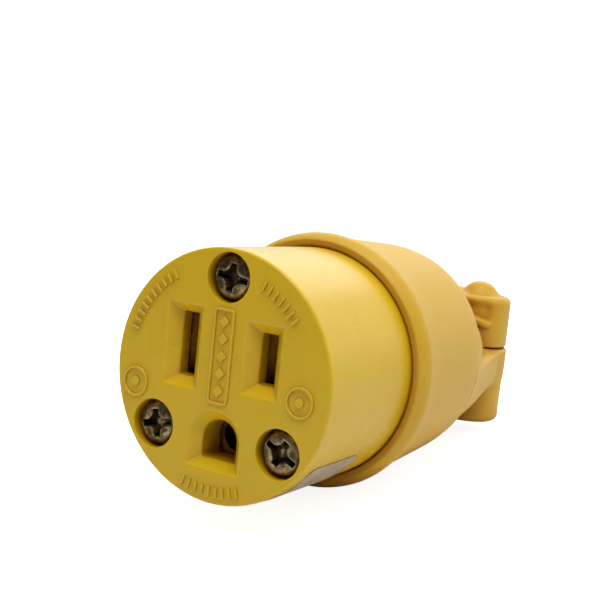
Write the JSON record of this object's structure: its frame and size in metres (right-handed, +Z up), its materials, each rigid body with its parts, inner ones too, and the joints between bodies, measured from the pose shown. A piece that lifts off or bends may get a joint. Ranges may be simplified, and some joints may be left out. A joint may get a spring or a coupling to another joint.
{
  "type": "cord connector",
  "caption": "Round female cord connector with two blade slots, a U-shaped ground hole, face screws, tapered rear shell and a two-screw cord clamp.",
  "frame": {"origin": "centre of the flat mating face", "axes": "+X right when looking at the face, +Y from the face back to the cord end, +Z up with the ground hole below the blades"},
  "size_m": [0.0378, 0.074, 0.0378],
  "materials": {
    "face_nylon": "glossy moulded yellow nylon, lightly scuffed",
    "shell_vinyl": "satin yellow vinyl with a fine moulded texture",
    "label": "worn grey adhesive label, blank",
    "contact_brass": "stamped strip",
    "insert_brass": "machined",
    "brass_screw": "bright",
    "silver_screw": "nickel plated",
    "green_screw": "green chromate",
    "plate_steel": "zinc plated",
    "aged_screw": "tarnished plating, dull bronze",
    "fibre": "red vulcanised fibre",
    "insulator": "black moulded thermoset"
  },
  "bodies": {
    "shell": {"rear_shell": "shell_vinyl", "shell_insert_top": "insert_brass", "shell_insert_left": "insert_brass", "shell_insert_right": "insert_brass"},
    "front": {"front_body": "face_nylon", "rating_label": "label", "neutral_contact": "contact_brass", "hot_contact": "contact_brass", "ground_contact": "contact_brass", "rear_insulator": "insulator"},
    "retainer_top": {"screw_retainer_top": "fibre"},
    "face_screw_top": {"face_screw_top": "aged_screw"},
    "retainer_left": {"screw_retainer_left": "fibre"},
    "face_screw_left": {"face_screw_left": "aged_screw"},
    "retainer_right": {"screw_retainer_right": "fibre"},
    "face_screw_right": {"face_screw_right": "aged_screw"},
    "neutral_plate": {"neutral_pressure_plate": "plate_steel"},
    "neutral_screw": {"neutral_terminal_screw": "silver_screw"},
    "hot_plate": {"hot_pressure_plate": "plate_steel"},
    "hot_screw": {"hot_terminal_screw": "brass_screw"},
    "ground_plate": {"ground_pressure_plate": "plate_steel"},
    "ground_screw": {"ground_terminal_screw": "green_screw"},
    "saddle": {"clamp_saddle": "shell_vinyl", "clamp_insert_left": "insert_brass", "clamp_insert_right": "insert_brass"},
    "clamp_screw_left": {"clamp_screw_left": "aged_screw"},
    "clamp_screw_right": {"clamp_screw_right": "aged_screw"}
  },
  "joints": [
    {"name": "front_withdraw", "type": "slide", "parent": "shell", "child": "front", "axis": [0, -1, 0], "range_m": [0, 0.022]},
    {"name": "face_screw_top_travel", "type": "slide", "parent": "front", "child": "retainer_top", "axis": [0, -1, 0], "range_m": [0, 0.00953]},
    {"name": "face_screw_top_turn", "type": "hinge", "parent": "retainer_top", "child": "face_screw_top", "pos_m": [0, 0.0035, 0.0131], "axis": [0, -1, 0], "range_deg": [0, 4320]},
    {"name": "face_screw_left_travel", "type": "slide", "parent": "front", "child": "retainer_left", "axis": [0, -1, 0], "range_m": [0, 0.00953]},
    {"name": "face_screw_left_turn", "type": "hinge", "parent": "retainer_left", "child": "face_screw_left", "pos_m": [-0.01005, 0.0035, -0.00822], "axis": [0, -1, 0], "range_deg": [0, 4320]},
    {"name": "face_screw_right_travel", "type": "slide", "parent": "front", "child": "retainer_right", "axis": [0, -1, 0], "range_m": [0, 0.00953]},
    {"name": "face_screw_right_turn", "type": "hinge", "parent": "retainer_right", "child": "face_screw_right", "pos_m": [0.01005, 0.0035, -0.00822], "axis": [0, -1, 0], "range_deg": [0, 4320]},
    {"name": "neutral_plate_travel", "type": "slide", "parent": "front", "child": "neutral_plate", "axis": [-1, 0, 0], "range_m": [0, 0.00238]},
    {"name": "neutral_screw_turn", "type": "hinge", "parent": "neutral_plate", "child": "neutral_screw", "pos_m": [-0.007, 0.0341, 0.00325], "axis": [-1, 0, 0], "range_deg": [0, 1080]},
    {"name": "hot_plate_travel", "type": "slide", "parent": "front", "child": "hot_plate", "axis": [1, 0, 0], "range_m": [0, 0.00238]},
    {"name": "hot_screw_turn", "type": "hinge", "parent": "hot_plate", "child": "hot_screw", "pos_m": [0.007, 0.0341, 0.00325], "axis": [1, 0, 0], "range_deg": [0, 1080]},
    {"name": "ground_plate_travel", "type": "slide", "parent": "front", "child": "ground_plate", "axis": [0, 0, -1], "range_m": [0, 0.00238]},
    {"name": "ground_screw_turn", "type": "hinge", "parent": "ground_plate", "child": "ground_screw", "pos_m": [0, 0.0341, -0.00625], "axis": [0, 0, -1], "range_deg": [0, 1080]},
    {"name": "saddle_travel", "type": "slide", "parent": "shell", "child": "saddle", "axis": [0, 0, 1], "range_m": [0, 0.00476]},
    {"name": "clamp_screw_left_turn", "type": "hinge", "parent": "shell", "child": "clamp_screw_left", "pos_m": [-0.0064, 0.0686, -0.0102], "axis": [0, 0, -1], "range_deg": [0, 2160]},
    {"name": "clamp_screw_right_turn", "type": "hinge", "parent": "shell", "child": "clamp_screw_right", "pos_m": [0.0064, 0.0686, -0.0102], "axis": [0, 0, -1], "range_deg": [0, 2160]}
  ],
  "couplings": [
    {"joint": "face_screw_top_turn", "follows": "face_screw_top_travel", "rad_per_m": 7915.8},
    {"joint": "face_screw_left_turn", "follows": "face_screw_left_travel", "rad_per_m": 7915.8},
    {"joint": "face_screw_right_turn", "follows": "face_screw_right_travel", "rad_per_m": 7915.8},
    {"joint": "neutral_screw_turn", "follows": "neutral_plate_travel", "rad_per_m": 7915.8},
    {"joint": "hot_screw_turn", "follows": "hot_plate_travel", "rad_per_m": 7915.8},
    {"joint": "ground_screw_turn", "follows": "ground_plate_travel", "rad_per_m": 7915.8},
    {"joint": "clamp_screw_left_turn", "follows": "saddle_travel", "rad_per_m": 7915.8},
    {"joint": "clamp_screw_right_turn", "follows": "saddle_travel", "rad_per_m": 7915.8}
  ]
}
